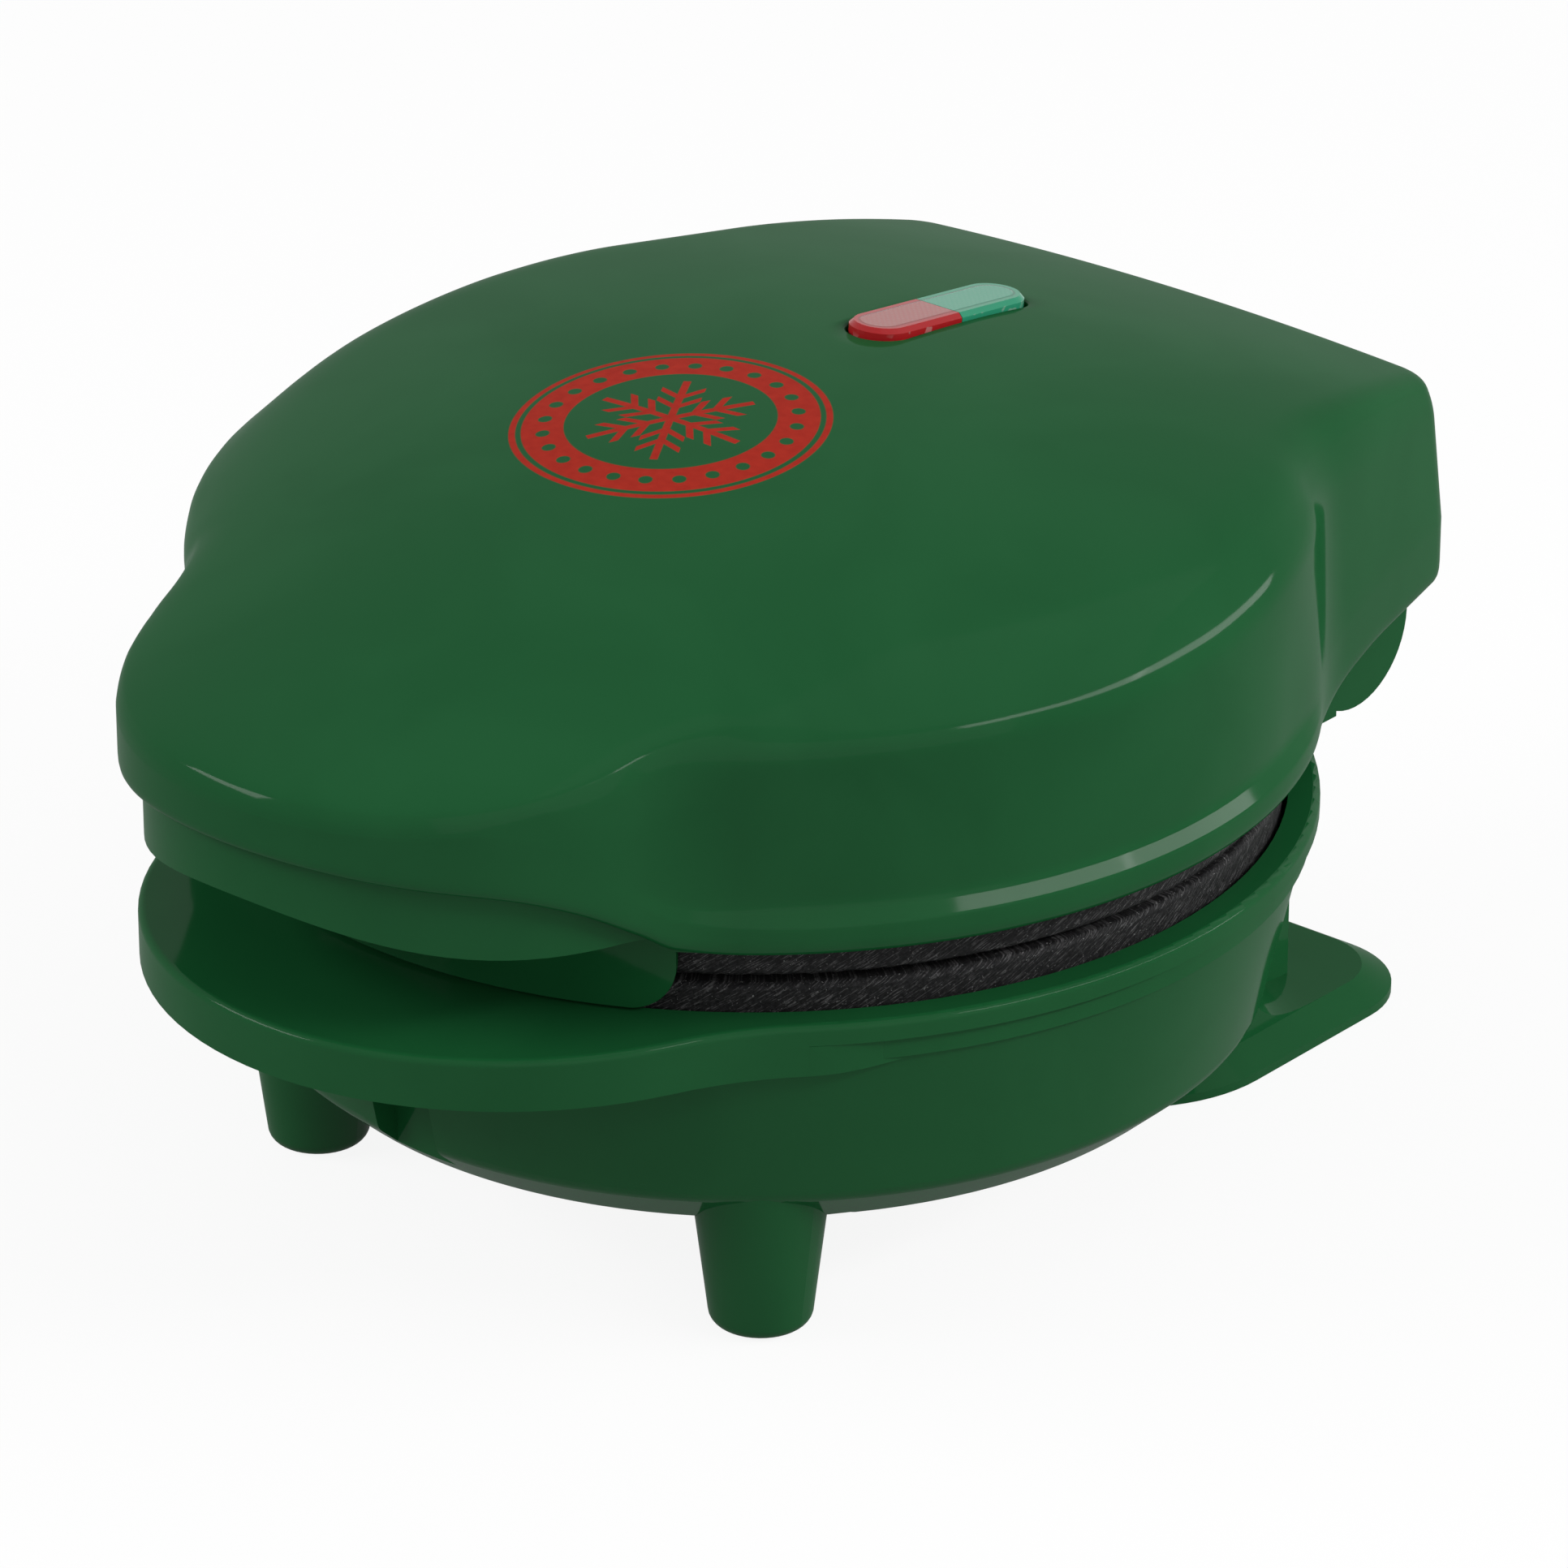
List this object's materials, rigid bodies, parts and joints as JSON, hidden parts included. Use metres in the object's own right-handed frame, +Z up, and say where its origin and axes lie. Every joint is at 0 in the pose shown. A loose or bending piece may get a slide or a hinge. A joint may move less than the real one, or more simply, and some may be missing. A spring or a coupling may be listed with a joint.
{
  "type": "mini waffle maker",
  "caption": "Small round countertop waffle maker: two green plastic halves with ridged round cooking plates, front handle, indicator window and rear-hinged lid.",
  "frame": {"origin": "on the floor, under the middle of the closed appliance's overall length and width", "axes": "+Z up, -Y towards the handle at the front, +X to the right as seen from the front"},
  "size_m": [0.122, 0.1564, 0.087],
  "materials": {
    "green_body": "gloss moulded plastic",
    "plate": "dark non-stick coating on a casting",
    "steel": "plain",
    "zinc": "aluminised sheet",
    "black_plastic": "matte",
    "white_plastic": "matte",
    "lead": "sleeved wire",
    "lamp": "clear",
    "lens_red": "tinted, see-through",
    "lens_green": "tinted, see-through"
  },
  "bodies": {
    "base": {"base_bowl": "green_body", "base_frame": "green_body", "base_leads": "lead", "base_screws": "steel", "clamp_screws": "steel", "cord_clamp": "white_plastic", "cord_gland": "black_plastic", "fuse_strap": "zinc", "hinge_pins": "steel", "lower_element": "steel", "lower_plate": "plate", "lower_shield": "zinc", "neck_screws": "steel", "terminal_block": "white_plastic", "terminal_screws": "steel", "thermal_fuse": "steel"},
    "lid": {"holder_screws": "steel", "lamp_green": "lamp", "lamp_holder": "white_plastic", "lamp_red": "lamp", "lens_green": "lens_green", "lens_red": "lens_red", "lid_leads": "lead", "lid_liner": "green_body", "lid_screws": "steel", "lid_shell": "green_body", "thermostat": "steel", "upper_element": "steel", "upper_plate": "plate", "upper_plate_screws": "steel", "upper_shield": "zinc"}
  },
  "joints": [
    {"name": "lid_hinge", "type": "hinge", "parent": "base", "child": "lid", "pos_m": [0, 0.0678, 0.045], "axis": [-1, 0, 0], "range_deg": [0, 105]}
  ]
}
